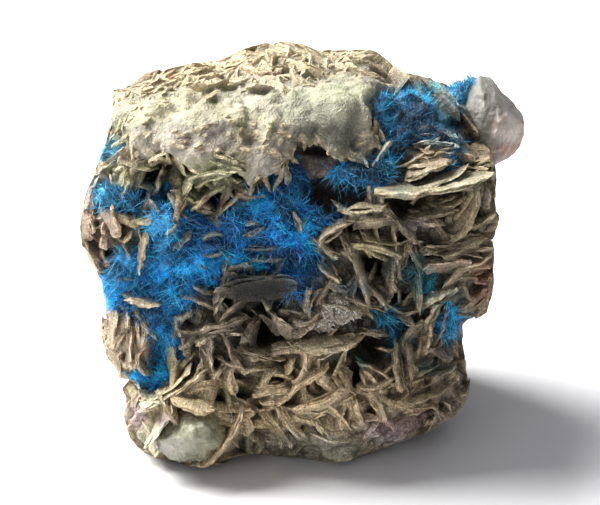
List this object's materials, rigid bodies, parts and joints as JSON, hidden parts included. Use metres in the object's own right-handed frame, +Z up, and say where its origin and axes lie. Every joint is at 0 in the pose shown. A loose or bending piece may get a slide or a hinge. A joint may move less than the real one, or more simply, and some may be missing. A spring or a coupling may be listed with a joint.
{
  "type": "mineral specimen",
  "caption": "Rough hand specimen for display: tan bladed rock with a pale sugary cap, mats of azure fibres and a milky crystal at one corner; rests on its flat base.",
  "frame": {"origin": "on the flat base, under the middle of the box", "axes": "+Z up from the flat base, -Y towards the bladed front with the blue mats, +X towards the corner crystal's side"},
  "size_m": [0.0552, 0.0496, 0.0483],
  "materials": {
    "tan_blades": "matt, finely ridged, with pale rims",
    "pale_cap": "sugary, translucent cream to pale green",
    "milky_crystal": "milky translucent, satin faces, pink edge",
    "green_crystal": "glassy, pale green, translucent",
    "druse_crystal": "glittering small clear crystals",
    "azure_fibre": "felted fine silky fibres"
  },
  "bodies": {
    "root": {"bladed_matrix": "tan_blades", "pale_cap": "pale_cap", "corner_crystal": "milky_crystal", "green_crystal": "green_crystal", "druse": "druse_crystal", "blue_mat_main": "azure_fibre", "blue_mat_left": "azure_fibre", "blue_mat_upper_right": "azure_fibre", "blue_mat_notch": "azure_fibre", "blue_tuft_right_edge": "azure_fibre", "blue_tuft_lower_middle": "azure_fibre", "blue_tuft_right": "azure_fibre", "blue_tuft_left_edge": "azure_fibre"}
  },
  "joints": []
}
